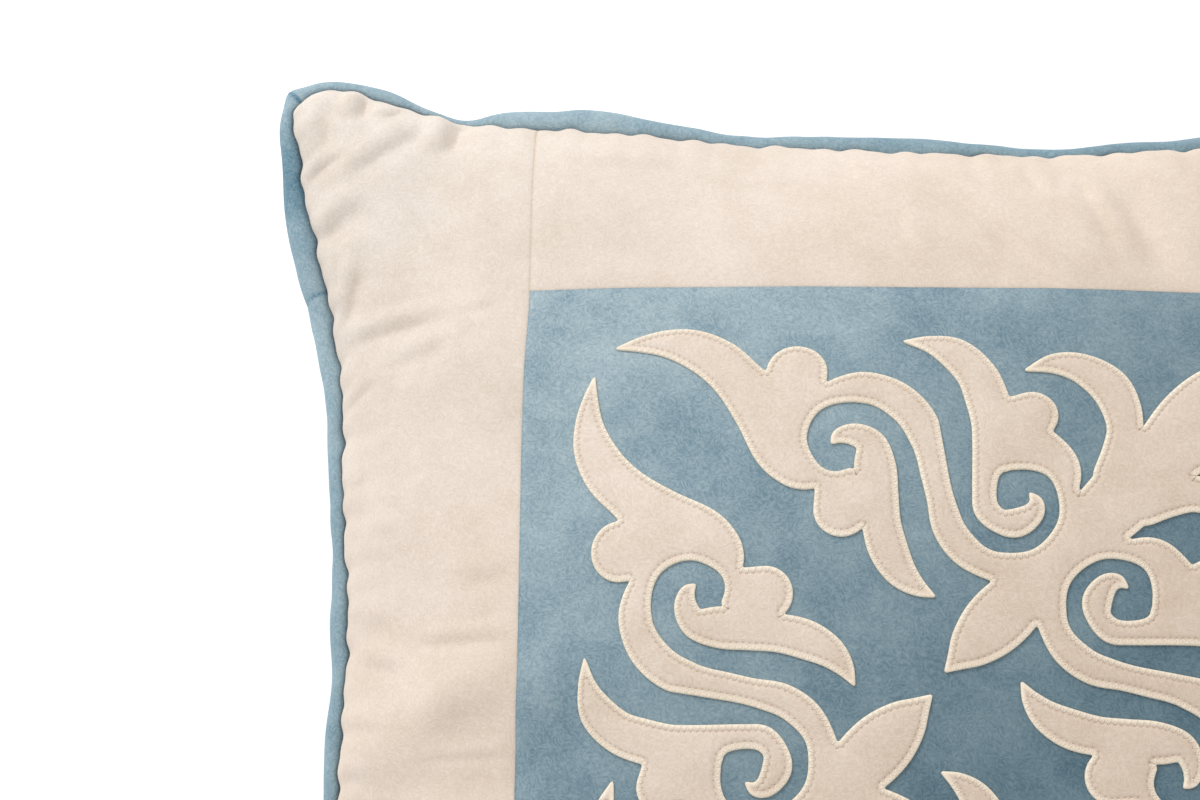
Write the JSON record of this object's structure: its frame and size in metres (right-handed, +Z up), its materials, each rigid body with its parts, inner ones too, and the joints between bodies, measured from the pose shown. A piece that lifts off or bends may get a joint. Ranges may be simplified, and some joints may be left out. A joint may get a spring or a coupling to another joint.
{
  "type": "cushion",
  "caption": "Square velvet cushion lying on its back, with a cream patchwork frame, a blue centre panel, stitched-on cream scroll ornaments and soft blue piping.",
  "frame": {"origin": "on the floor under the middle of the cushion, which lies on its back", "axes": "+Z up, out of the front face; +Y towards the top edge of the front; +X to the right of someone who looks at the front"},
  "size_m": [0.5155, 0.5122, 0.1373],
  "materials": {
    "cream_velvet": "short pile velvet, matt with a soft sheen",
    "blue_velvet": "short pile velvet, matt with a soft sheen",
    "blue_piping": "short pile velvet over soft cord"
  },
  "bodies": {
    "root": {"cushion_body": "blue_velvet", "border_left": "cream_velvet", "border_right": "cream_velvet", "border_top": "cream_velvet", "border_bottom": "cream_velvet", "centre_panel": "blue_velvet", "ornament_upper": "cream_velvet", "ornament_lower": "cream_velvet", "piping": "blue_piping"}
  },
  "joints": []
}
